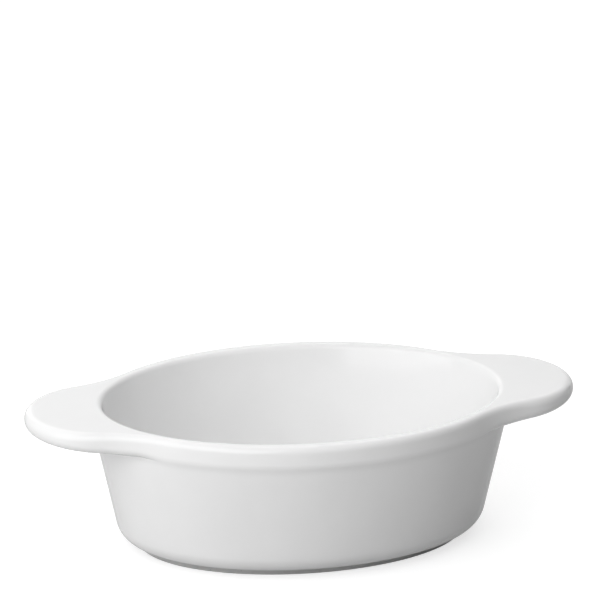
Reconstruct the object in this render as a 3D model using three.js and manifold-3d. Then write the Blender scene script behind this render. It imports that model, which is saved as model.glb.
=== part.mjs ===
// Oval cocotte: a white glazed oven dish with a raised collar and a flat lug handle at each end.
// Millimetres, +Z up. The origin is on the table under the middle of the bowl, with the lugs along X.
// The clay bowl, its two lugs and its foot ring are luted together, then coated with glaze.

import * as THREE from 'three';
import loadManifold from 'manifold-3d';

// Driving dimensions of the bowl
const BOWL_LENGTH = 150; // collar, end to end, without the lugs
const BOWL_WIDTH = 110; // collar, side to side
const HEIGHT = 53.2; // table to rim
const WALL = 6.7; // wall along the sides with its coats, measured level
const END_WALL = 4.8; // wall at the two ends, where the opening is longer
const FLOOR = 5.5; // floor of the bowl with its coats
const DRAFT = 12.3; // lean of the wall from upright, degrees
const OUTER_CORNER = 8.8; // radius from the outer wall to the base
const INNER_CORNER = 13; // radius from the inner wall to the floor

// Driving dimensions of the rim and collar
const RIM_INNER_EDGE = 2.2; // radius of the rim on the cooking side
const RIM_OUTER_EDGE = 2.4; // radius of the rim on the collar
const COLLAR_DEPTH = 8.4; // rim to the step under the collar
const COLLAR_LIP = 2.5; // radius of the collar's lower edge
const COLLAR_SLOPE = 0.2; // straight stretch between the lower edge and the hollow
const COLLAR_FILLET = 4; // hollow radius from the collar to the wall
const COLLAR_TURN = 33; // how far the step turns under, degrees from upright

// Driving dimensions of a lug
const LUG_REACH = 23.8; // tip of the lug beyond the collar
const LUG_RADIUS = 26.5; // round end, seen from above
const LUG_SHOULDER = 47.5; // hollow radius from the round end to the collar, seen from above
const LUG_EDGE = 6.6; // thickness at the tip, thinner than at the collar
const LUG_TOP_EDGE = 3.2; // radius of the upper edge at the tip
const LUG_LIP = 3.2; // radius of the lower edge at the tip
const LUG_BLEND = 3.5; // reach at which the edge starts to change from the collar's to the lug's

// Driving dimensions of the foot
const FOOT_HEIGHT = 2; // table to the glazed base
const FOOT_WIDTH = 5; // ring, outer side to inner side
const FOOT_OUTSET = 0.7; // outer side of the ring beyond the end of the base corner
const FOOT_BEVEL = 0.4; // bevel where the ring meets the table

// Coats and clearances
const GLAZE = 0.4; // thickness of the glaze
const COAT_GAP = 0.1; // clearance from the glaze to the clay and to the next coat
const SEAM = 0.3; // slip joint from a lug to the collar
const SEAM_CUT = 4; // how far the cut for a lug's seat reaches past the faces that it trims

// Facets of each curved stretch
const LUG_END_STEPS = 5;
const SHOULDER_STEPS = 4;
const SIDE_STEPS = 6;
const CORNER_STEPS = 4;
const EDGE_STEPS = 3;
const SMALL_STEPS = 3;

// Colours of the finishes
const GLAZE_WHITE = 0xf3f3f1;
const BARE_CLAY = 0xe2dfda;

// Sizes that follow from the driving ones
const halfLength = BOWL_LENGTH / 2;
const halfWidth = BOWL_WIDTH / 2;
const quarterTurn = Math.PI / 2;
const leanAngle = THREE.MathUtils.degToRad(DRAFT);
const lean = Math.tan(leanAngle);
const slant = Math.hypot(1, lean);
const skin = GLAZE + COAT_GAP;
const endStretch = WALL - END_WALL;
const collarUnderside = HEIGHT - COLLAR_DEPTH;
const stepAngle = THREE.MathUtils.degToRad(COLLAR_TURN);
const stepSine = Math.sin(stepAngle);
const stepCosine = Math.cos(stepAngle);
const lipInset = COLLAR_LIP * (1 - stepCosine);
const slopeInset = COLLAR_SLOPE * (stepSine - lean * stepCosine);
const hollowInset = COLLAR_FILLET * (slant - stepCosine - lean * stepSine);
const overhang = lipInset + slopeInset + hollowInset;
const hollowHeight = collarUnderside - COLLAR_SLOPE * stepCosine - COLLAR_FILLET * stepSine;
const floorHeight = FOOT_HEIGHT + FLOOR;
const clayBase = FOOT_HEIGHT + skin;
const lugCentre = halfLength + LUG_REACH - LUG_RADIUS;

// A place on the wall's profile is an offset from the collar's oval, negative inwards, and a height.
const outerWall = (height) => -overhang - lean * (collarUnderside - height);
const innerWall = (height) => outerWall(height) - WALL;

// Centres of the four arcs that touch the leaning wall, the inner two stretched to the longer opening
const outerCorner = wallArc(outerWall, FOOT_HEIGHT + OUTER_CORNER, -OUTER_CORNER);
const collarFillet = wallArc(outerWall, hollowHeight, COLLAR_FILLET);
const rimEdge = wallArc(innerWall, HEIGHT - RIM_INNER_EDGE, RIM_INNER_EDGE, endStretch);
const innerCorner = wallArc(innerWall, floorHeight + INNER_CORNER, -INNER_CORNER, endStretch);

const footOuter = outerCorner.offset + FOOT_OUTSET;
const footInner = footOuter - FOOT_WIDTH;

/** Centre of an arc that touches a leaning wall, on its outer side where reach is positive. */
function wallArc(wall, height, reach, stretch = 0) {
  const touch = height + (reach * lean) / slant;
  return { offset: wall(touch) + reach / slant, height, stretch };
}

/** Point of the collar's oval at an angle. */
function ovalPoint(angle) {
  return new THREE.Vector2(halfLength * Math.cos(angle), halfWidth * Math.sin(angle));
}

/** Outward direction of the collar's oval at an angle. */
function ovalNormal(angle) {
  return new THREE.Vector2(Math.cos(angle) / halfLength, Math.sin(angle) / halfWidth).normalize();
}

/** Angle between low and high at which a function changes from below zero to above it. */
function crossing(low, high, test) {
  const HALVINGS = 50;
  for (let i = 0; i < HALVINGS; i += 1) {
    const middle = (low + high) / 2;
    if (test(middle) < 0) low = middle;
    else high = middle;
  }
  return (low + high) / 2;
}

/** Plan of one shoulder: the hollow arc that touches the oval and the round end of the lug. */
function makeShoulder() {
  const end = new THREE.Vector2(lugCentre, 0);
  const hollow = (angle) => ovalPoint(angle).addScaledVector(ovalNormal(angle), LUG_SHOULDER);
  const apart = LUG_RADIUS + LUG_SHOULDER;
  const leaves = crossing(0, quarterTurn, (angle) => hollow(angle).distanceTo(end) - apart);
  const centre = hollow(leaves);
  const turn = centre.clone().sub(end).angle();
  return { end, centre, leaves, turn };
}

const shoulder = makeShoulder();

/** Angles of one quarter of the oval whose normals meet evenly spaced points of the lugged outline. */
function quarterAngles() {
  const { end, centre, leaves, turn } = shoulder;
  const along = new THREE.Vector2();
  const foot = (point) =>
    crossing(0, quarterTurn, (angle) => {
      const near = ovalPoint(angle);
      along.set(-halfLength * Math.sin(angle), halfWidth * Math.cos(angle));
      return near.sub(point).dot(along);
    });
  const onCircle = (middle, radius, angle) =>
    new THREE.Vector2(Math.cos(angle), Math.sin(angle)).multiplyScalar(radius).add(middle);
  const angles = [];
  for (let i = 0; i < LUG_END_STEPS; i += 1) {
    angles.push(foot(onCircle(end, LUG_RADIUS, (turn * i) / LUG_END_STEPS)));
  }
  const from = turn + Math.PI;
  const to = Math.PI + ovalNormal(leaves).angle();
  for (let i = 0; i < SHOULDER_STEPS; i += 1) {
    const angle = THREE.MathUtils.lerp(from, to, i / SHOULDER_STEPS);
    angles.push(foot(onCircle(centre, LUG_SHOULDER, angle)));
  }
  for (let i = 0; i < SIDE_STEPS; i += 1) {
    angles.push(THREE.MathUtils.lerp(leaves, quarterTurn, i / SIDE_STEPS));
  }
  return angles;
}

/** Distance along a ray from its start to a circle, to the far side of it or to the near side. */
function toCircle(start, direction, centre, radius, side) {
  const gap = start.clone().sub(centre);
  const half = gap.dot(direction);
  return side * Math.sqrt(half * half - gap.lengthSq() + radius * radius) - half;
}

/** Distance along the oval's normal to the lugged outline, set in by an even margin. */
function reach(angle, margin) {
  const { end, centre, leaves, turn } = shoulder;
  if (angle >= leaves) return -margin;
  const start = ovalPoint(angle);
  const normal = ovalNormal(angle);
  const far = toCircle(start, normal, end, LUG_RADIUS - margin, 1);
  const met = start.clone().addScaledVector(normal, far).sub(end);
  if (far > -margin && met.angle() <= turn) return far;
  return toCircle(start, normal, centre, LUG_SHOULDER + margin, -1);
}

/**
 * Stations round the oval: each holds its angle, its fold into one quarter and its share of lug.
 * Its lower edge turns under as far as the collar's step, and further as a lug's reach gives it room.
 */
function makeStations() {
  const quarter = quarterAngles();
  const half = [...quarter, quarterTurn, ...quarter.slice(1).reverse().map((angle) => Math.PI - angle)];
  const round = [...half, ...half.map((angle) => angle + Math.PI)];
  return round.map((angle) => {
    const folded = Math.atan2(Math.abs(Math.sin(angle)), Math.abs(Math.cos(angle)));
    const grown = reach(folded, 0);
    const share = THREE.MathUtils.clamp((grown - LUG_BLEND) / (LUG_REACH - LUG_BLEND), 0, 1);
    const lip = THREE.MathUtils.lerp(COLLAR_LIP, LUG_LIP, share);
    const under = Math.acos(1 - Math.min((grown + lipInset) / lip, 1));
    return { angle, folded, share, lip, under, point: ovalPoint(angle), normal: ovalNormal(angle) };
  });
}

const stations = makeStations();

/** Ring of an oval whose half axes differ from the collar's by an offset, and its ends by a stretch too. */
function ovalRing(offset, height, stretch = 0) {
  return stations.map(({ angle }) => {
    const x = (halfLength + offset + stretch) * Math.cos(angle);
    const y = (halfWidth + offset) * Math.sin(angle);
    return new THREE.Vector3(x, y, height);
  });
}

/** Ring at a distance along each station's normal, with a height for each station. */
function normalRing(distance, height) {
  return stations.map((station) => {
    const plan = station.point.clone().addScaledVector(station.normal, distance(station));
    return new THREE.Vector3(plan.x, plan.y, height(station));
  });
}

/** Oval rings along an arc of the wall's profile. */
function arcRings(centre, radius, from, to, steps) {
  return Array.from({ length: steps + 1 }, (unused, i) => {
    const angle = THREE.MathUtils.lerp(from, to, i / steps);
    const offset = centre.offset + radius * Math.cos(angle);
    return ovalRing(offset, centre.height + radius * Math.sin(angle), centre.stretch);
  });
}

/** Outer wall from a turn of the base corner up to the step under the collar, set in by a margin. */
function outerWallRings(margin, from) {
  const base = arcRings(outerCorner, OUTER_CORNER - margin, from, -leanAngle, CORNER_STEPS);
  const low = Math.PI - leanAngle;
  const high = Math.PI - stepAngle;
  return [...base, ...arcRings(collarFillet, COLLAR_FILLET + margin, low, high, SMALL_STEPS)];
}

/** Inner wall from the rim down to the floor, set in by a margin. */
function innerWallRings(margin) {
  const down = Math.PI - leanAngle;
  const rim = arcRings(rimEdge, RIM_INNER_EDGE - margin, quarterTurn, down, EDGE_STEPS);
  const floor = arcRings(innerCorner, INNER_CORNER + margin, -leanAngle, -quarterTurn, CORNER_STEPS);
  return [...rim, ...floor];
}

/** How far a station's lower edge lies inside the outline after a turn of it, set in by a margin. */
function lowerInset({ lip }, turn, margin) {
  return lip - (lip - margin) * Math.cos(turn);
}

/**
 * Edge of the collar from its step to the rim, set in by a margin.
 * Where a lug grows out, the edge runs out to the lug's outline, or stops at a given limit.
 */
function collarEdgeRings(margin, limit) {
  const place = (inset) => (station) => Math.min(reach(station.folded, inset(station)), limit);
  const joined = limit < Infinity;
  const depth = ({ share }) => (joined ? COLLAR_DEPTH : THREE.MathUtils.lerp(COLLAR_DEPTH, LUG_EDGE, share));
  const radius = ({ share }) => THREE.MathUtils.lerp(RIM_OUTER_EDGE, LUG_TOP_EDGE, share) - margin;
  const rings = [];
  for (let i = 0; i <= SMALL_STEPS; i += 1) {
    const turn = ({ under }) => under * (1 - i / SMALL_STEPS);
    const inset = (station) => lowerInset(station, turn(station), margin);
    const rise = (station) => (station.lip - margin) * Math.sin(turn(station));
    const centre = ({ lip, under }) => lip * Math.sin(under);
    const height = (station) => HEIGHT - depth(station) + centre(station) - rise(station);
    rings.push(normalRing(place(inset), height));
  }
  for (let i = 0; i <= EDGE_STEPS; i += 1) {
    const turn = (quarterTurn * i) / EDGE_STEPS;
    const inset = (station) => margin + radius(station) * (1 - Math.cos(turn));
    const height = (station) => HEIGHT - margin - radius(station) * (1 - Math.sin(turn));
    rings.push(normalRing(place(inset), height));
  }
  return rings;
}

/** Line along the middle of the step's slope, and where a lug, thicker at its root, reaches the collar. */
function lugRootRing(margin) {
  const half = COLLAR_SLOPE / 2;
  const inset = (station) => lowerInset(station, station.under, margin) + half * Math.sin(station.under);
  return normalRing(
    (station) => Math.min(reach(station.folded, inset(station)), SEAM),
    ({ under }) => collarUnderside + margin * Math.sin(under) - half * Math.cos(under),
  );
}

/** Closed solid skinned over a stack of rings, which closes on itself or ends in two points. */
function loft(rings, tips) {
  const count = stations.length;
  const points = rings.flat();
  const faces = [];
  const at = (ring, station) => (ring % rings.length) * count + (station % count);
  const spans = tips ? rings.length - 1 : rings.length;
  for (let ring = 0; ring < spans; ring += 1) {
    for (let station = 0; station < count; station += 1) {
      const [a, b] = [at(ring, station), at(ring, station + 1)];
      const [c, d] = [at(ring + 1, station), at(ring + 1, station + 1)];
      faces.push(a, b, c, b, d, c);
    }
  }
  if (tips) {
    const first = points.push(new THREE.Vector3(0, 0, tips[0])) - 1;
    const last = points.push(new THREE.Vector3(0, 0, tips[1])) - 1;
    for (let station = 0; station < count; station += 1) {
      faces.push(first, at(0, station + 1), at(0, station));
      faces.push(at(rings.length - 1, station), at(rings.length - 1, station + 1), last);
    }
  }
  const geometry = new THREE.BufferGeometry().setFromPoints(points);
  geometry.setIndex(faces);
  return geometry;
}

/** Rings of a coat of glaze, over its outer face and back along its clay side. */
function coat(face) {
  return [...face(0), ...face(GLAZE).reverse()];
}

/** Clay bowl: base, wall, collar and rim, with an upright seat on the collar for each lug. */
function bowlBody() {
  const wall = outerWallRings(skin, -quarterTurn);
  const rings = [...wall, ...collarEdgeRings(skin, 0), ...innerWallRings(skin)];
  return loft(rings, [clayBase, floorHeight - skin]);
}

/** Bare clay ring under the base. */
function footRing() {
  const profile = [
    [footInner + FOOT_BEVEL, 0],
    [footOuter - FOOT_BEVEL, 0],
    [footOuter, FOOT_BEVEL],
    [footOuter, clayBase],
    [footInner, clayBase],
    [footInner, FOOT_BEVEL],
  ];
  return loft(profile.map(([offset, height]) => ovalRing(offset, height)));
}

/** Coat on the cooking side, from the rim's inner edge over the floor. */
function insideGlaze() {
  const rings = [...innerWallRings(GLAZE).reverse(), ...innerWallRings(0)];
  return loft(rings, [floorHeight - GLAZE, floorHeight]);
}

/** Coat over the rim, collar, lugs and outer wall, down to the foot ring. */
function outsideGlaze() {
  const end = FOOT_OUTSET + COAT_GAP;
  const face = (margin) => [
    ...outerWallRings(margin, -Math.acos(end / (OUTER_CORNER - margin))),
    lugRootRing(margin),
    ...collarEdgeRings(margin, Infinity),
    ovalRing(rimEdge.offset + COAT_GAP, HEIGHT - margin, rimEdge.stretch),
  ];
  return loft(coat(face));
}

/** Coat in the shallow well inside the foot ring. */
function baseGlaze() {
  const edge = footInner - COAT_GAP;
  const rings = [FOOT_HEIGHT, FOOT_HEIGHT + GLAZE].map((height) => ovalRing(edge, height));
  return loft(rings, [FOOT_HEIGHT, FOOT_HEIGHT + GLAZE]);
}

/** Both lugs in clay, left then right: the lugged collar less the oval that the bowl's collar fills. */
async function lugPair() {
  const wasm = await loadManifold();
  wasm.setup();
  const solid = (geometry) => {
    const vertProperties = geometry.getAttribute('position').array;
    const triVerts = new Uint32Array(geometry.getIndex().array);
    return new wasm.Manifold(new wasm.Mesh({ numProp: 3, vertProperties, triVerts }));
  };
  const within = () => SEAM - SEAM_CUT;
  const plate = [
    normalRing(within, () => collarUnderside + skin),
    lugRootRing(skin),
    ...collarEdgeRings(skin, Infinity),
    normalRing(within, () => HEIGHT - skin),
  ];
  const below = collarUnderside - SEAM_CUT;
  const above = HEIGHT + SEAM_CUT;
  const seat = [below, above].map((height) => normalRing(() => SEAM, () => height));
  const lugs = solid(loft(plate)).subtract(solid(loft(seat, [below, above]))).decompose();
  lugs.sort((one, other) => one.boundingBox().min[0] - other.boundingBox().min[0]);
  return lugs.map((lug) => {
    const { vertProperties, triVerts } = lug.getMesh();
    const geometry = new THREE.BufferGeometry();
    geometry.setAttribute('position', new THREE.BufferAttribute(vertProperties, 3));
    geometry.setIndex(new THREE.BufferAttribute(triVerts, 1));
    return geometry;
  });
}

/** Named sub-part with its own finish. */
function piece(name, geometry, color, roughness) {
  geometry.computeVertexNormals();
  const material = new THREE.MeshStandardMaterial({ color, roughness, metalness: 0 });
  const mesh = new THREE.Mesh(geometry, material);
  mesh.name = name;
  return mesh;
}

const GLOSSY = 0.15;
const MATT = 0.85;
const [leftLug, rightLug] = await lugPair();

const cocotte = new THREE.Group();
cocotte.add(
  piece('bowl_body', bowlBody(), BARE_CLAY, MATT),
  piece('left_handle', leftLug, BARE_CLAY, MATT),
  piece('right_handle', rightLug, BARE_CLAY, MATT),
  piece('foot_ring', footRing(), BARE_CLAY, MATT),
  piece('inside_glaze', insideGlaze(), GLAZE_WHITE, GLOSSY),
  piece('outside_glaze', outsideGlaze(), GLAZE_WHITE, GLOSSY),
  piece('base_glaze', baseGlaze(), GLAZE_WHITE, GLOSSY),
);

export default cocotte;
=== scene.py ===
"""Oval cocotte: fine glaze coats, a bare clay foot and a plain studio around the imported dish.

Metres, +Z up, with the origin on the table under the middle of the bowl and the lugs along X.
"""
import math
from typing import NamedTuple

import bpy
import numpy as np
from bpy.props import FloatProperty, FloatVectorProperty, IntProperty, PointerProperty
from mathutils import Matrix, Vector


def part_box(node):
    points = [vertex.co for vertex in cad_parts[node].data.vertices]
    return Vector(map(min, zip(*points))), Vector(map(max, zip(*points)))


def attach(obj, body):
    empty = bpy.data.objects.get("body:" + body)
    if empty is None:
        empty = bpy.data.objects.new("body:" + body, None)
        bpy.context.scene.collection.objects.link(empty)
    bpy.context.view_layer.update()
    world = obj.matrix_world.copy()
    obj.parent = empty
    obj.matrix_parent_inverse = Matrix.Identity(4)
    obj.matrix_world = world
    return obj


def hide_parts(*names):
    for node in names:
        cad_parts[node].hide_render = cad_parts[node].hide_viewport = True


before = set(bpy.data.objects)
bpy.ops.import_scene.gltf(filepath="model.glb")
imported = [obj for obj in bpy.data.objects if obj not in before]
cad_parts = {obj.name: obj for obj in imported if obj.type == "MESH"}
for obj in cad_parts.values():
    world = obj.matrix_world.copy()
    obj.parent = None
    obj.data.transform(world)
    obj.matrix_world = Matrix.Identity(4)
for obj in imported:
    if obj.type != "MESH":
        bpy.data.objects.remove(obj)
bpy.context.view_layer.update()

bl_info = {
    "name": "Oval cocotte",
    "version": (1, 0, 0),
    "blender": (4, 5, 0),
    "location": "3D View > Sidebar > Cocotte",
    "description": "Glaze coats, bare foot and studio for an oval oven dish with lug handles",
    "category": "Add Mesh",
}

MM = 0.001
QUARTER = math.pi / 2
CLOSE = 1e-6
SHARP_TURN = math.radians(50)
BODY = "root"

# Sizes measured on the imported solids
outside_low, outside_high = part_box("outside_glaze")
inside_low, inside_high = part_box("inside_glaze")
base_low, base_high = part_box("base_glaze")
foot_low, foot_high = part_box("foot_ring")
collar_half_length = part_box("bowl_body")[1].x


def length(name, description, default):
    """Property that holds a length in metres."""
    return FloatProperty(
        name=name, description=description, default=default, min=0.0, precision=5,
        subtype="DISTANCE", unit="LENGTH",
    )


def turn(name, description, degrees):
    """Property that holds an angle, with its default in degrees."""
    return FloatProperty(
        name=name, description=description, default=math.radians(degrees),
        subtype="ANGLE", unit="ROTATION",
    )


def share(name, description, default):
    """Property that holds a share from 0 to 1."""
    return FloatProperty(
        name=name, description=description, default=default, min=0.0, max=1.0, subtype="FACTOR",
    )


def colour(name, description, default):
    """Property that holds a linear colour."""
    return FloatVectorProperty(
        name=name, description=description, default=default, min=0.0, max=1.0, size=3, subtype="COLOR",
    )


def amount(name, description, default):
    """Property that holds a plain positive number."""
    return FloatProperty(name=name, description=description, default=default, min=0.0)


class CocotteBowl(bpy.types.PropertyGroup):
    """Sizes of the bowl's wall and floor."""

    collar_length: length("Collar length", "Collar, end to end, without the lugs", 2 * collar_half_length)
    collar_width: length("Collar width", "Collar, side to side", 2 * outside_high.y)
    rim_height: length("Rim height", "Table to rim", outside_high.z)
    floor_height: length("Floor height", "Table to the glazed floor", inside_low.z + base_high.z - base_low.z)
    wall: length("Wall", "Wall along the sides with its coats, measured level", 6.7 * MM)
    end_wall: length("End wall", "Wall at the two ends, where the opening is longer", 4.8 * MM)
    draft: turn("Draft", "Lean of the wall from upright", 12.3)
    outer_corner: length("Outer corner", "Radius from the outer wall to the base", 8.8 * MM)
    inner_corner: length("Inner corner", "Radius from the inner wall to the floor", 13 * MM)


class CocotteCollar(bpy.types.PropertyGroup):
    """Sizes of the rim and collar."""

    inner_edge: length("Inner edge", "Radius of the rim on the cooking side", 2.2 * MM)
    outer_edge: length("Outer edge", "Radius of the rim on the collar", 2.4 * MM)
    depth: length("Depth", "Rim to the step under the collar", 8.4 * MM)
    lip: length("Lip", "Radius of the collar's lower edge", 6 * MM)
    slope: length("Slope", "Straight stretch between the lower edge and the hollow", 0.2 * MM)
    fillet: length("Fillet", "Hollow radius from the collar to the wall", 12.64 * MM)
    turn: turn("Turn", "How far the step turns under, from upright", 23.0)


class CocotteLug(bpy.types.PropertyGroup):
    """Sizes of a lug handle."""

    reach: length("Reach", "Tip of the lug beyond the collar", outside_high.x - collar_half_length)
    radius: length("Round end", "Radius of the end, seen from above", 26.5 * MM)
    shoulder: length("Shoulder", "Hollow radius from the round end to the collar", 47.5 * MM)
    edge: length("Edge", "Thickness at the tip", 6.6 * MM)
    top_edge: length("Top edge", "Radius of the upper edge at the tip", 3.2 * MM)
    lip: length("Lip", "Radius of the lower edge at the tip", 3.2 * MM)
    blend: length("Blend", "Reach at which the collar's edge starts to become the lug's", 3.5 * MM)
    fade: length("Fade", "Reach over which the collar's lower edge fades into the lug's", 0.7 * MM)
    seam: length("Seam", "Distance of the lug's root from the collar", 0.3 * MM)


class CocotteFoot(bpy.types.PropertyGroup):
    """Sizes of the bare clay foot ring."""

    length: length("Length", "Ring, end to end", 2 * foot_high.x)
    height: length("Height", "Table to the glazed base", base_low.z)
    seat: length("Seat", "Table to the clay that the ring is luted to", foot_high.z)
    width: length("Width", "Ring, outer side to inner side", 5 * MM)
    edge: length("Edge", "Radius where the ring meets the table", 0.4 * MM)


class CocotteFinish(bpy.types.PropertyGroup):
    """Coats, colours and gloss."""

    coat: length("Coat", "Thickness of the glaze", 0.3 * MM)
    coat_gap: length("Coat gap", "Clearance from the end of a coat to the foot ring", 0.1 * MM)
    glaze: colour("Glaze", "White of a full coat of glaze", (0.9, 0.9, 0.9))
    thin_glaze: colour("Thin glaze", "White where the glaze has run thin over an edge", (0.88, 0.88, 0.88))
    gloss: share("Glaze roughness", "Roughness of the melted glaze", 0.08)
    gleam: share("Glaze gleam", "Strength of the reflections in the glaze", 0.35)
    clay: colour("Clay", "Colour of the bare fired clay", (0.53, 0.53, 0.525))
    speck: colour("Specks", "Colour of the coarse grains in the clay", (0.39, 0.39, 0.385))
    clay_roughness: share("Clay roughness", "Roughness of the bare fired clay", 0.82)


class CocotteStudio(bpy.types.PropertyGroup):
    """Camera and light."""

    azimuth: turn("Azimuth", "Camera round the dish, from the front towards the right lug", -13.013)
    elevation: turn("Elevation", "Camera above the table", 20.881)
    distance: length("Distance", "Camera to the middle of the dish", 1.6667)
    focal: amount("Focal length", "Focal length of the lens, in millimetres", 281.55)
    focus_x: amount("Focus across", "Pixel column of the middle of the dish", 301.155)
    focus_y: amount("Focus down", "Pixel row of the middle of the dish", 462.974)
    floor: colour("Floor", "Colour of the floor", (0.5, 0.5, 0.5))


class CocotteSettings(bpy.types.PropertyGroup):
    """All sizes, colours and lights of the dish."""

    bowl: PointerProperty(type=CocotteBowl)
    collar: PointerProperty(type=CocotteCollar)
    lug: PointerProperty(type=CocotteLug)
    foot: PointerProperty(type=CocotteFoot)
    finish: PointerProperty(type=CocotteFinish)
    studio: PointerProperty(type=CocotteStudio)
    stations: IntProperty(
        name="Stations", description="Points round each ring of the surfaces", default=440, min=40,
    )


# Plan of the collar and lugs

class Plan(NamedTuple):
    """Lugged collar seen from above: an oval, a round lug end and the hollow shoulder between them."""

    half_length: float
    half_width: float
    end: np.ndarray
    end_radius: float
    hollow: np.ndarray
    hollow_radius: float
    leaves: float
    turns: float


def oval_point(half_length, half_width, angle):
    """Point of an oval: half length times the cosine, half width times the sine."""
    return np.stack([half_length * np.cos(angle), half_width * np.sin(angle)], axis=-1)


def oval_normal(half_length, half_width, angle):
    """Outward direction of an oval: cosine over half length, sine over half width, made one long."""
    across = np.stack([np.cos(angle) / half_length, np.sin(angle) / half_width], axis=-1)
    return across / np.linalg.norm(across, axis=-1, keepdims=True)


def make_plan(settings):
    """Plan whose shoulder touches the oval and the round end.

    The shoulder's centre lies on the oval's normal, one shoulder radius out, at the angle where it is
    as far from the middle of the round end as both radii together. Halving the range finds that angle.
    """
    half_length = settings.bowl.collar_length / 2
    half_width = settings.bowl.collar_width / 2
    lug = settings.lug
    end = np.array([half_length + lug.reach - lug.radius, 0.0])

    def hollow_at(angle):
        normal = oval_normal(half_length, half_width, angle)
        return oval_point(half_length, half_width, angle) + lug.shoulder * normal

    low, high = 0.0, QUARTER
    halvings = 50
    for _ in range(halvings):
        middle = (low + high) / 2
        if np.linalg.norm(hollow_at(middle) - end) < lug.radius + lug.shoulder:
            low = middle
        else:
            high = middle
    hollow = hollow_at(low)
    if not math.isclose(np.linalg.norm(hollow - end), lug.radius + lug.shoulder, rel_tol=CLOSE):
        raise ValueError("The lug's shoulder can't touch both the collar and the round end")
    turns = math.atan2(hollow[1] - end[1], hollow[0] - end[0])
    return Plan(half_length, half_width, end, lug.radius, hollow, lug.shoulder, low, turns)


def to_circle(start, direction, centre, radius, side):
    """Distance along a ray to the far side (+1) or the near side (-1) of a circle."""
    gap = start - centre
    half = np.sum(gap * direction, axis=-1)
    square = half**2 - np.sum(gap**2, axis=-1) + radius**2
    return side * np.sqrt(np.maximum(square, 0.0)) - half


def reach(plan, angle, margin):
    """Distance along the oval's normal to the lugged outline, set in by an even margin.

    Past the shoulder the outline is the oval itself. Before it, the ray meets the round end, or the
    hollow shoulder where the meeting point lies beyond the shoulder's turn.
    """
    folded = np.arctan2(np.abs(np.sin(angle)), np.abs(np.cos(angle)))
    start = oval_point(plan.half_length, plan.half_width, folded)
    normal = oval_normal(plan.half_length, plan.half_width, folded)
    far = to_circle(start, normal, plan.end, plan.end_radius - margin, 1)
    near = to_circle(start, normal, plan.hollow, plan.hollow_radius + margin, -1)
    met = start + normal * far[..., None] - plan.end
    on_end = (far > -margin) & (np.arctan2(met[..., 1], met[..., 0]) <= plan.turns)
    return np.where(folded >= plan.leaves, -margin, np.where(on_end, far, near))


def station_angles(plan, count):
    """Angles of the oval whose normals meet evenly spaced points of the lugged outline.

    The outline is sampled finely, its length is summed along the samples, and the angle is read back
    at even steps of that length.
    """
    samples = 20000
    angle = np.linspace(0.0, 4 * QUARTER, samples + 1)
    point = oval_point(plan.half_length, plan.half_width, angle)
    normal = oval_normal(plan.half_length, plan.half_width, angle)
    outline = point + normal * reach(plan, angle, np.zeros_like(angle))[:, None]
    along = np.concatenate([[0.0], np.cumsum(np.linalg.norm(np.diff(outline, axis=0), axis=1))])
    return np.interp(np.arange(count) / count * along[-1], along, angle)


# Rings: arrays of ring, station and coordinate

def oval_rings(plan, angle, offset, height, stretch=0.0):
    """Ovals whose half axes differ from the collar's by an offset, and their ends by a stretch too."""
    x = (plan.half_length + stretch + offset[:, None]) * np.cos(angle)
    y = (plan.half_width + offset[:, None]) * np.sin(angle)
    return np.stack([x, y, np.broadcast_to(height[:, None], x.shape)], axis=-1)


def normal_rings(plan, angle, distance, height):
    """Rings at a distance along the collar's normals, with a height for each ring and station."""
    point = oval_point(plan.half_length, plan.half_width, angle)
    normal = oval_normal(plan.half_length, plan.half_width, angle)
    flat = point + normal * distance[..., None]
    return np.concatenate([flat, height[..., None]], axis=-1)


def between(first, last, steps):
    """Rings part of the way from one ring to another, without the two themselves."""
    part = np.arange(1, steps)[:, None, None] / steps
    return first + (last - first) * part


def arc(centre, radius, start, stop, steps):
    """Offsets and heights along an arc of the wall's profile."""
    angle = np.linspace(start, stop, steps + 1)
    return centre[0] + radius * np.cos(angle), centre[1] + radius * np.sin(angle)


class Profile(NamedTuple):
    """Places on the wall's profile: an offset from the collar's oval, negative inwards, and a height."""

    lean: float
    outer_corner: tuple
    collar_fillet: tuple
    rim_edge: tuple
    inner_corner: tuple
    foot_outer: float
    foot_inner: float
    coat_end: float
    end_stretch: float


def make_profile(settings):
    """Centres of the four arcs that touch the leaning wall, and the two sides of the foot ring.

    The outside coat ends at the turn of the base corner where its middle, with half its thickness and
    a gap, comes to the outer side of the ring.
    """
    bowl, collar, foot, finish = settings.bowl, settings.collar, settings.foot, settings.finish
    lean = math.tan(bowl.draft)
    slant = math.hypot(1.0, lean)
    underside = bowl.rim_height - collar.depth
    sine, cosine = math.sin(collar.turn), math.cos(collar.turn)
    hollow = slant - cosine - lean * sine
    overhang = collar.lip * (1 - cosine) + collar.slope * (sine - lean * cosine) + collar.fillet * hollow

    def touching(wall, height, radius):
        touch = height + radius * lean / slant
        return -overhang - wall - lean * (underside - touch) + radius / slant, height

    foot_outer = foot.length / 2 - bowl.collar_length / 2
    outer_corner = touching(0.0, foot.height + bowl.outer_corner, -bowl.outer_corner)
    end = foot_outer + finish.coat_gap + finish.coat / 2 - outer_corner[0]
    return Profile(
        bowl.draft,
        outer_corner,
        touching(0.0, underside - collar.slope * cosine - collar.fillet * sine, collar.fillet),
        touching(bowl.wall, bowl.rim_height - collar.inner_edge, collar.inner_edge),
        touching(bowl.wall, bowl.floor_height + bowl.inner_corner, -bowl.inner_corner),
        foot_outer,
        foot_outer - foot.width,
        -math.acos(end / (bowl.outer_corner - finish.coat / 2)),
        bowl.wall - bowl.end_wall,
    )


class Steps(NamedTuple):
    """How finely each stretch of a profile is divided."""

    corner: int
    wall: int
    small: int
    edge: int
    flat: int


FINE = Steps(corner=26, wall=14, small=8, edge=12, flat=12)
HIDDEN = Steps(corner=8, wall=2, small=3, edge=4, flat=2)


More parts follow.
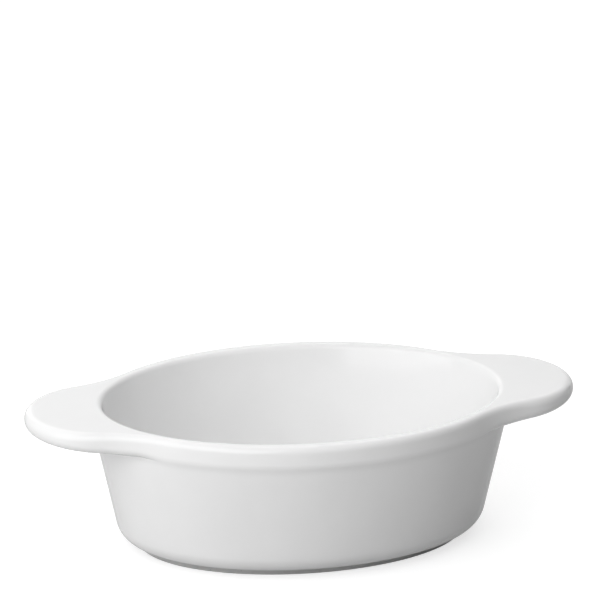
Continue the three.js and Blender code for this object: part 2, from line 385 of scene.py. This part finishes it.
def outer_wall(settings, plan, profile, angle, margin, steps):
    """Outer wall from the foot, round the corner, up the lean and into the hollow under the collar."""
    bowl, collar = settings.bowl, settings.collar
    base_radius = bowl.outer_corner - margin
    base = arc(profile.outer_corner, base_radius, profile.coat_end, -profile.lean, steps.corner)
    lean, under = math.pi - profile.lean, math.pi - collar.turn
    hollow = arc(profile.collar_fillet, collar.fillet + margin, lean, under, steps.small)
    base, hollow = oval_rings(plan, angle, *base), oval_rings(plan, angle, *hollow)
    return np.concatenate([base, between(base[-1], hollow[0], steps.wall), hollow])


def inner_wall(settings, plan, profile, angle, margin, steps):
    """Inner wall from the rim over its edge, down the lean and round the corner to the floor."""
    bowl, collar = settings.bowl, settings.collar
    rim = arc(profile.rim_edge, collar.inner_edge - margin, QUARTER, math.pi - profile.lean, steps.edge)
    floor = arc(profile.inner_corner, bowl.inner_corner + margin, -profile.lean, -QUARTER, steps.corner)
    rim = oval_rings(plan, angle, *rim, profile.end_stretch)
    floor = oval_rings(plan, angle, *floor, profile.end_stretch)
    return np.concatenate([rim, between(rim[-1], floor[0], steps.wall), floor])


def collar_edge(settings, plan, angle, margin, steps):
    """Edge of the collar and lugs, from the lug's root under it to the flat of the rim.

    The lower edge is an arc of the lip's radius and the upper edge a quarter round of the rim's radius.
    On the collar the lower arc turns under only as far as the step does. Where a lug grows out, its
    start stays in place until the arc is a quarter round, and then moves out with the lug. Towards
    the tip the edge grows thinner and the radii change to the lug's, in step with the reach.
    """
    bowl, collar, lug = settings.bowl, settings.collar, settings.lug
    grown = reach(plan, angle, np.zeros_like(angle))
    tip_share = np.clip((grown - lug.blend) / (lug.reach - lug.blend), 0.0, 1.0)
    depth = collar.depth + (lug.edge - collar.depth) * tip_share
    radius = collar.outer_edge + (lug.top_edge - collar.outer_edge) * tip_share - margin
    lip = lug.lip + (collar.lip - lug.lip) * np.exp(-grown / lug.fade)
    room = grown + collar.lip * (1 - math.cos(collar.turn))
    under = np.arccos(1 - np.clip(room / lip, 0.0, 1.0))

    def rings(inset, height):
        return normal_rings(plan, angle, reach(plan, angle, inset), height)

    low = under * np.linspace(1.0, 0.0, steps.small + 1)[:, None]
    low_inset = lip - (lip - margin) * np.cos(low)
    low_height = lip * np.sin(under) - (lip - margin) * np.sin(low)
    low_edge = rings(low_inset, bowl.rim_height - depth + low_height)
    top = np.linspace(0.0, QUARTER, steps.edge + 1)[:, None]
    top_inset = margin + radius * (1 - np.cos(top))
    top_edge = rings(top_inset, bowl.rim_height - margin - radius * (1 - np.sin(top)))

    root_inset = low_inset[0] + collar.slope / 2 * np.sin(under)
    root_reach = np.minimum(reach(plan, angle, root_inset), lug.seam)
    root_height = margin * np.sin(under) - collar.slope / 2 * np.cos(under)
    root_height = bowl.rim_height - collar.depth + root_height
    root = normal_rings(plan, angle, root_reach[None], root_height[None])
    return np.concatenate([
        root,
        between(root[-1], low_edge[0], steps.flat),
        low_edge,
        between(low_edge[-1], top_edge[0], steps.flat // 2),
        top_edge,
    ])


def inwards(ring, height, steps):
    """Rings that shrink evenly from a ring to the middle, which they don't reach, at a height."""
    part = 1.0 - np.arange(1, steps)[:, None, None] / steps
    rings = ring * part
    rings[..., 2] = height
    return rings


def skin_over(name, rings, poles=None):
    """Object whose faces join each ring to the next, with faces outwards.

    Each ring runs anticlockwise and the next ring lies to its left, seen from outside. The last ring
    joins the first, or a fan closes each end of the stack to a pole on the axis.
    """
    total, count = rings.shape[:2]
    points = rings.reshape(-1, 3)
    here = np.arange(count)
    after = (here + 1) % count
    first = np.arange(total - 1 if poles else total)[:, None] * count
    second = (first + count) % (total * count)
    quads = np.stack([first + here, first + after, second + after, second + here], axis=-1)
    faces = quads.reshape(-1, 4).tolist()
    if poles:
        bottom, top = total * count, total * count + 1
        points = np.concatenate([points, [[0.0, 0.0, poles[0]], [0.0, 0.0, poles[1]]]])
        last = (total - 1) * count
        faces += np.stack([after, here, np.full(count, bottom)], axis=-1).tolist()
        faces += np.stack([last + here, last + after, np.full(count, top)], axis=-1).tolist()
    mesh = bpy.data.meshes.new(name)
    mesh.from_pydata(points.tolist(), [], faces)
    mesh.validate()
    mesh.shade_smooth()
    mesh.set_sharp_from_angle(angle=SHARP_TURN)
    piece = bpy.data.objects.new(name, mesh)
    bpy.context.scene.collection.objects.link(piece)
    return piece


def fit_piece(piece, node, material):
    """Rides a piece on the dish in place of its plain solid, with its finish."""
    piece.data.materials.append(material)
    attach(piece, BODY)
    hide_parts(node)
    return piece


# Finishes: cells of each pattern per metre, depths of relief and ranges of noise

GLAZE_CLOUDS = 38.0
GLAZE_RIPPLES = 160.0
GLAZE_PEEL = 700.0
GLAZE_RELIEF = 0.02 * MM
CLAY_CLOUDS = 120.0
CLAY_SPECKS = 900.0
CLAY_GRAIN = 1800.0
HIDDEN_CLAY_RELIEF = 0.05 * MM
BARE_CLAY_RELIEF = 0.12 * MM
NOISE_WHOLE = (0.0, 1.0)
NOISE_MIDDLE = (0.3, 0.7)
NOISE_THINNING = (0.42, 0.72)
NOISE_SPECKS = (0.66, 0.74)

# Sockets of the Mix node for colours
MIX_FACTOR, MIX_FIRST, MIX_SECOND, MIX_RESULT = 0, 6, 7, 2


def node_group(name, inputs, outputs):
    """New shader node group with named sockets, and its input and output nodes."""
    group = bpy.data.node_groups.new(name, "ShaderNodeTree")
    for socket, kind in inputs:
        group.interface.new_socket(socket, in_out="INPUT", socket_type=kind)
    for socket, kind in outputs:
        group.interface.new_socket(socket, in_out="OUTPUT", socket_type=kind)
    return group, group.nodes.new("NodeGroupInput"), group.nodes.new("NodeGroupOutput")


def noise(tree, vector, scale, detail):
    """Noise texture on a vector, as its value."""
    node = tree.nodes.new("ShaderNodeTexNoise")
    node.inputs["Scale"].default_value = scale
    node.inputs["Detail"].default_value = detail
    tree.links.new(vector, node.inputs["Vector"])
    return node.outputs["Fac"]


def ramp(tree, value, span, low, high):
    """Value moved from a span to the range from low to high, held at the ends."""
    node = tree.nodes.new("ShaderNodeMapRange")
    tree.links.new(value, node.inputs["Value"])
    for socket, number in zip(("From Min", "From Max", "To Min", "To Max"), (*span, low, high)):
        node.inputs[socket].default_value = number
    return node.outputs["Result"]


def mix_colour(tree, factor, first, second):
    """Colour between two colours by a factor."""
    node = tree.nodes.new("ShaderNodeMix")
    node.data_type = "RGBA"
    tree.links.new(factor, node.inputs[MIX_FACTOR])
    tree.links.new(first, node.inputs[MIX_FIRST])
    tree.links.new(second, node.inputs[MIX_SECOND])
    return node.outputs[MIX_RESULT]


def sum_of(tree, first, second):
    """Sum of two values."""
    node = tree.nodes.new("ShaderNodeMath")
    node.operation = "ADD"
    tree.links.new(first, node.inputs[0])
    tree.links.new(second, node.inputs[1])
    return node.outputs[0]


def glaze_group():
    """Melted glaze: clouds of thicker and thinner coat, an even gloss and a slow ripple."""
    name = "glaze_melt"
    if name in bpy.data.node_groups:
        return bpy.data.node_groups[name]
    colours = [("Full", "NodeSocketColor"), ("Thin", "NodeSocketColor")]
    results = [("Color", "NodeSocketColor"), ("Gloss", "NodeSocketFloat"), ("Height", "NodeSocketFloat")]
    group, inputs, outputs = node_group(name, colours + [("Roughness", "NodeSocketFloat")], results)
    place = group.nodes.new("ShaderNodeTexCoord").outputs["Object"]
    cloud = noise(group, place, GLAZE_CLOUDS, detail=3.0)
    ripple = noise(group, place, GLAZE_RIPPLES, detail=1.0)
    peel = noise(group, place, GLAZE_PEEL, detail=2.0)
    thin = ramp(group, cloud, NOISE_THINNING, low=0.0, high=1.0)
    made = mix_colour(group, thin, inputs.outputs["Full"], inputs.outputs["Thin"])
    gloss = sum_of(group, inputs.outputs["Roughness"], ramp(group, peel, NOISE_MIDDLE, low=-0.02, high=0.03))
    slow_relief = ramp(group, ripple, NOISE_WHOLE, low=0.0, high=0.8)
    height = sum_of(group, slow_relief, ramp(group, peel, NOISE_WHOLE, low=0.0, high=0.2))
    group.links.new(made, outputs.inputs["Color"])
    group.links.new(gloss, outputs.inputs["Gloss"])
    group.links.new(height, outputs.inputs["Height"])
    return group


def clay_group():
    """Fired clay: dusky clouds, coarse specks and a sandy grain."""
    name = "clay_grain"
    if name in bpy.data.node_groups:
        return bpy.data.node_groups[name]
    colours = [("Clay", "NodeSocketColor"), ("Speck", "NodeSocketColor")]
    results = [("Color", "NodeSocketColor"), ("Matt", "NodeSocketFloat"), ("Height", "NodeSocketFloat")]
    group, inputs, outputs = node_group(name, colours + [("Roughness", "NodeSocketFloat")], results)
    place = group.nodes.new("ShaderNodeTexCoord").outputs["Object"]
    grain = noise(group, place, CLAY_GRAIN, detail=3.0)
    cloud = noise(group, place, CLAY_CLOUDS, detail=2.0)
    specks = ramp(group, noise(group, place, CLAY_SPECKS, detail=1.0), NOISE_SPECKS, low=0.0, high=0.8)
    dusk = ramp(group, cloud, NOISE_MIDDLE, low=0.0, high=0.18)
    made = mix_colour(group, sum_of(group, specks, dusk), inputs.outputs["Clay"], inputs.outputs["Speck"])
    matt = sum_of(group, inputs.outputs["Roughness"], ramp(group, grain, NOISE_MIDDLE, low=-0.06, high=0.06))
    group.links.new(made, outputs.inputs["Color"])
    group.links.new(matt, outputs.inputs["Matt"])
    group.links.new(grain, outputs.inputs["Height"])
    return group


def dressed_material(name, group, colours, roughness, bump):
    """Material whose colour, roughness and relief come from a finish group."""
    material = bpy.data.materials.new(name)
    material.use_nodes = True
    tree = material.node_tree
    shader = tree.nodes["Principled BSDF"]
    finish = tree.nodes.new("ShaderNodeGroup")
    finish.node_tree = group
    for socket, value in zip(finish.inputs, (*colours, roughness)):
        socket.default_value = value
    relief = tree.nodes.new("ShaderNodeBump")
    relief.inputs["Distance"].default_value = bump
    relief.inputs["Strength"].default_value = 1.0
    tree.links.new(finish.outputs[0], shader.inputs["Base Color"])
    tree.links.new(finish.outputs[1], shader.inputs["Roughness"])
    tree.links.new(finish.outputs[2], relief.inputs["Height"])
    tree.links.new(relief.outputs["Normal"], shader.inputs["Normal"])
    return material


def opaque(tone):
    """Colour with full alpha."""
    return (*tone, 1.0)


def glaze_material(settings):
    """White glaze, shared by every coat of the dish."""
    name = "melted_glaze"
    if name in bpy.data.materials:
        return bpy.data.materials[name]
    finish = settings.finish
    colours = (opaque(finish.glaze), opaque(finish.thin_glaze))
    material = dressed_material(name, glaze_group(), colours, finish.gloss, GLAZE_RELIEF)
    material.node_tree.nodes["Principled BSDF"].inputs["Specular IOR Level"].default_value = finish.gleam
    return material


def clay_material(settings, name, relief):
    """Bare fired clay with a depth of grain."""
    finish = settings.finish
    colours = (opaque(finish.clay), opaque(finish.speck))
    return dressed_material(name, clay_group(), colours, finish.clay_roughness, relief)


# Operators

class Maker(NamedTuple):
    """What each operator works from."""

    settings: CocotteSettings
    plan: Plan
    profile: Profile
    angle: np.ndarray


def start_making(context):
    """Settings of the scene with their plan, profile and stations."""
    settings = context.scene.cocotte
    plan = make_plan(settings)
    return Maker(settings, plan, make_profile(settings), station_angles(plan, settings.stations))


class COCOTTE_OT_clay(bpy.types.Operator):
    """Give the clay bowl and its two lugs, which lie under the glaze, the finish of fired clay"""

    bl_idname = "cocotte.clay"
    bl_label = "Clay bowl and lugs"

    def execute(self, context):
        material = clay_material(context.scene.cocotte, "fired_clay", HIDDEN_CLAY_RELIEF)
        for name in ("bowl_body", "left_handle", "right_handle"):
            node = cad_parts[name]
            for slot in node.material_slots:
                slot.material = material
        return {"FINISHED"}


class COCOTTE_OT_foot(bpy.types.Operator):
    """Make the bare clay ring that the dish stands on"""

    bl_idname = "cocotte.foot"
    bl_label = "Foot ring"

    def execute(self, context):
        made = start_making(context)
        foot = made.settings.foot
        outer, inner, edge = made.profile.foot_outer, made.profile.foot_inner, foot.edge
        steps = 6
        outer_edge = arc((outer - edge, edge), edge, -QUARTER, 0.0, steps)
        inner_edge = arc((inner + edge, edge), edge, -2 * QUARTER, -QUARTER, steps)
        offset = np.concatenate([outer_edge[0], [outer, inner], inner_edge[0]])
        height = np.concatenate([outer_edge[1], [foot.seat, foot.seat], inner_edge[1]])
        rings = oval_rings(made.plan, made.angle, offset, height)
        piece = skin_over("bare_foot_ring", rings)
        clay = clay_material(made.settings, "bare_clay", BARE_CLAY_RELIEF)
        fit_piece(piece, "foot_ring", clay)
        return {"FINISHED"}


class COCOTTE_OT_outside(bpy.types.Operator):
    """Make the coat of glaze over the outer wall, collar, lugs and rim"""

    bl_idname = "cocotte.outside"
    bl_label = "Outside glaze"

    def execute(self, context):
        made = start_making(context)
        coat = made.settings.finish.coat
        air = self.face(made, 0.0, FINE)
        clay = self.face(made, coat, HIDDEN)[::-1]
        bead = self.bead(made, coat)
        piece = skin_over("outside_coat", np.concatenate([air, clay, bead]))
        fit_piece(piece, "outside_glaze", glaze_material(made.settings))
        return {"FINISHED"}

    def face(self, made, margin, steps):
        """Face of the coat from the foot to the rim, set in by a margin."""
        settings, plan, profile, angle = made
        wall = outer_wall(settings, plan, profile, angle, margin, steps)
        edge = collar_edge(settings, plan, angle, margin, steps)
        rim_at, rim_height = np.array([profile.rim_edge[0]]), np.array([settings.bowl.rim_height - margin])
        rim = oval_rings(plan, angle, rim_at, rim_height, profile.end_stretch)
        return np.concatenate([wall, edge, between(edge[-1], rim[0], steps.flat), rim])

    def bead(self, made, coat):
        """Half round that ends the coat at the foot, from the clay side to the air."""
        settings, plan, profile, angle = made
        steps = 6
        end = profile.coat_end
        centre = arc(profile.outer_corner, settings.bowl.outer_corner - coat / 2, end, end, 0)
        offset, height = arc(np.ravel(centre), coat / 2, end + 2 * QUARTER, end + 4 * QUARTER, steps)
        return oval_rings(plan, angle, offset[1:-1], height[1:-1])


class COCOTTE_OT_inside(bpy.types.Operator):
    """Make the coat of glaze on the cooking side, from the rim's inner edge over the floor"""

    bl_idname = "cocotte.inside"
    bl_label = "Inside glaze"

    def execute(self, context):
        settings, plan, profile, angle = start_making(context)
        coat = settings.finish.coat
        floor = settings.bowl.floor_height
        steps = 12
        clay = inner_wall(settings, plan, profile, angle, coat, HIDDEN)[::-1]
        air = inner_wall(settings, plan, profile, angle, 0.0, FINE)
        under = inwards(clay[0], floor - coat, steps)[::-1]
        over = inwards(air[-1], floor, steps)
        piece = skin_over("inside_coat", np.concatenate([under, clay, air, over]), (floor - coat, floor))
        fit_piece(piece, "inside_glaze", glaze_material(settings))
        return {"FINISHED"}


class COCOTTE_OT_base(bpy.types.Operator):
    """Make the coat of glaze in the shallow well inside the foot ring"""

    bl_idname = "cocotte.base"
    bl_label = "Base glaze"

    def execute(self, context):
        settings, plan, profile, angle = start_making(context)
        coat = settings.finish.coat
        low, high = settings.foot.height, settings.foot.height + coat
        steps = 12
        end = profile.foot_inner - settings.finish.coat_gap - coat / 2
        edge = arc((end, low + coat / 2), coat / 2, -QUARTER, QUARTER, steps // 2)
        edge = oval_rings(plan, angle, *edge)
        rings = [inwards(edge[0], low, steps)[::-1], edge, inwards(edge[-1], high, steps)]
        piece = skin_over("base_coat", np.concatenate(rings), (low, high))
        fit_piece(piece, "base_glaze", glaze_material(settings))
        return {"FINISHED"}


# Studio

class Lamp(NamedTuple):
    """Square soft lamp: azimuth and elevation in degrees, side and distance in metres, power in watts."""

    name: str
    azimuth: float
    elevation: float
    side: float
    distance: float
    power: float


LAMPS = (
    Lamp("front_softbox", azimuth=-15.0, elevation=60.0, side=3.0, distance=2.2, power=17.5),
    Lamp("left_softbox", azimuth=-50.0, elevation=22.0, side=1.2, distance=0.9, power=9.4),
    Lamp("left_back_softbox", azimuth=-140.0, elevation=22.0, side=1.2, distance=0.9, power=2.2),
    Lamp("back_softbox", azimuth=165.0, elevation=30.0, side=3.0, distance=2.2, power=23.6),
    Lamp("right_back_softbox", azimuth=135.0, elevation=60.0, side=3.0, distance=2.2, power=17.8),
)
FLOOR_SIDE = 8.0  # metres
SENSOR = 36.0  # millimetres
IMAGE_SIDE = 600  # pixels
WHITE = (1.0, 1.0, 1.0)
FLOOR_WHITE = 0.68  # what the camera sees on the floor beyond the lamps' own light
BACKDROP_WHITE = 1.0  # what the camera sees behind the floor
MIRROR_WHITE = 0.25  # how strong both are in the glaze


class COCOTTE_OT_studio(bpy.types.Operator):
    """Make the pale floor, the white backdrop, the soft lamps and the camera"""

    bl_idname = "cocotte.studio"
    bl_label = "Studio"

    def execute(self, context):
        scene = context.scene
        studio = scene.cocotte.studio
        scene.view_settings.view_transform = "Standard"
        middle = Vector((0.0, 0.0, scene.cocotte.bowl.rim_height / 2))
        self.make_floor(scene, studio)
        self.make_world(scene)
        for lamp in LAMPS:
            self.make_lamp(scene, middle, lamp)
        self.make_camera(scene, studio, middle)
        return {"FINISHED"}

    def towards(self, azimuth, elevation):
        """Direction from the dish to a place: azimuth from the front towards the right, and elevation."""
        level = math.cos(elevation)
        return Vector((math.sin(azimuth) * level, -math.cos(azimuth) * level, math.sin(elevation)))

    def make_lamp(self, scene, middle, lamp):
        """Square soft lamp that faces the middle of the dish."""
        data = bpy.data.lights.new(lamp.name, "AREA")
        data.shape = "SQUARE"
        data.size = lamp.side
        data.energy = lamp.power
        softbox = bpy.data.objects.new(lamp.name, data)
        back = self.towards(math.radians(lamp.azimuth), math.radians(lamp.elevation))
        softbox.location = middle + back * lamp.distance
        softbox.rotation_euler = back.to_track_quat("Z", "Y").to_euler()
        scene.collection.objects.link(softbox)

    def make_world(self, scene):
        """White backdrop all around, which the camera and the glaze see and which lights nothing else."""
        world = bpy.data.worlds.new("studio_world")
        world.use_nodes = True
        scene.world = world
        tree = world.node_tree
        backdrop = tree.nodes["Background"]
        backdrop.inputs["Color"].default_value = opaque(WHITE)
        tree.links.new(self.white_seen(tree, BACKDROP_WHITE), backdrop.inputs["Strength"])

    def white_seen(self, tree, camera_white):
        """Strength of a white: for the camera, less for mirrors and glass, and none for other light."""
        path = tree.nodes.new("ShaderNodeLightPath")
        rays = (
            ("Is Camera Ray", camera_white),
            ("Is Glossy Ray", MIRROR_WHITE),
            ("Is Transmission Ray", MIRROR_WHITE),
        )
        total = None
        for ray, strength in rays:
            part = tree.nodes.new("ShaderNodeMath")
            part.operation = "MULTIPLY_ADD"
            tree.links.new(path.outputs[ray], part.inputs[0])
            part.inputs[1].default_value = strength
            part.inputs[2].default_value = 0.0
            if total:
                tree.links.new(total, part.inputs[2])
            total = part.outputs[0]
        return total

    def make_floor(self, scene, studio):
        """Wide pale floor that shows white and keeps the soft shadow of the dish."""
        half = FLOOR_SIDE / 2
        corners = np.array([[-half, -half, 0.0], [half, -half, 0.0], [half, half, 0.0], [-half, half, 0.0]])
        mesh = bpy.data.meshes.new("floor")
        mesh.from_pydata(corners.tolist(), [], [(0, 1, 2, 3)])
        floor = bpy.data.objects.new("floor", mesh)
        scene.collection.objects.link(floor)
        material = bpy.data.materials.new("pale_floor")
        material.use_nodes = True
        tree = material.node_tree
        tree.nodes.remove(tree.nodes["Principled BSDF"])
        paper = tree.nodes.new("ShaderNodeBsdfDiffuse")
        paper.inputs["Color"].default_value = opaque(studio.floor)
        white = tree.nodes.new("ShaderNodeEmission")
        tree.links.new(self.white_seen(tree, FLOOR_WHITE), white.inputs["Strength"])
        both = tree.nodes.new("ShaderNodeAddShader")
        tree.links.new(paper.outputs[0], both.inputs[0])
        tree.links.new(white.outputs[0], both.inputs[1])
        tree.links.new(both.outputs[0], tree.nodes["Material Output"].inputs["Surface"])
        mesh.materials.append(material)

    def make_camera(self, scene, studio, middle):
        """Camera that sees the middle of the dish at its pixel of a square image."""
        data = bpy.data.cameras.new("photo_camera")
        data.sensor_width = SENSOR
        data.lens = studio.focal
        camera = bpy.data.objects.new("photo_camera", data)
        back = self.towards(studio.azimuth, studio.elevation)
        right = Vector((math.cos(studio.azimuth), math.sin(studio.azimuth), 0.0))
        up = back.cross(right)
        pixels = studio.focal / SENSOR * IMAGE_SIDE
        across = (IMAGE_SIDE / 2 - studio.focus_x) / pixels
        upward = (studio.focus_y - IMAGE_SIDE / 2) / pixels
        aim = right * across + up * upward - back
        camera.location = middle + back * studio.distance
        camera.rotation_euler = aim.to_track_quat("-Z", "Y").to_euler()
        scene.collection.objects.link(camera)
        scene.camera = camera


class COCOTTE_PT_panel(bpy.types.Panel):
    """Panel that lists the steps of making the dish"""

    bl_idname = "COCOTTE_PT_panel"
    bl_label = "Oval cocotte"
    bl_space_type = "VIEW_3D"
    bl_region_type = "UI"
    bl_category = "Cocotte"

    def draw(self, context):
        for maker in MAKERS:
            self.layout.operator(maker.bl_idname)


GROUPS = (
    CocotteBowl, CocotteCollar, CocotteLug, CocotteFoot, CocotteFinish, CocotteStudio, CocotteSettings,
)
MAKERS = (
    COCOTTE_OT_clay, COCOTTE_OT_foot, COCOTTE_OT_outside,
    COCOTTE_OT_inside, COCOTTE_OT_base, COCOTTE_OT_studio,
)
CLASSES = (*GROUPS, *MAKERS, COCOTTE_PT_panel)


def register():
    """Registers the classes and hangs the settings on the scene."""
    for kind in CLASSES:
        bpy.utils.register_class(kind)
    bpy.types.Scene.cocotte = PointerProperty(type=CocotteSettings)


def unregister():
    """Takes the settings off the scene and the classes out."""
    del bpy.types.Scene.cocotte
    for kind in reversed(CLASSES):
        bpy.utils.unregister_class(kind)


def main():
    """Makes the dish and its studio."""
    register()
    for maker in MAKERS:
        group, name = maker.bl_idname.split(".")
        getattr(getattr(bpy.ops, group), name)()


if __name__ == "__main__":
    main()
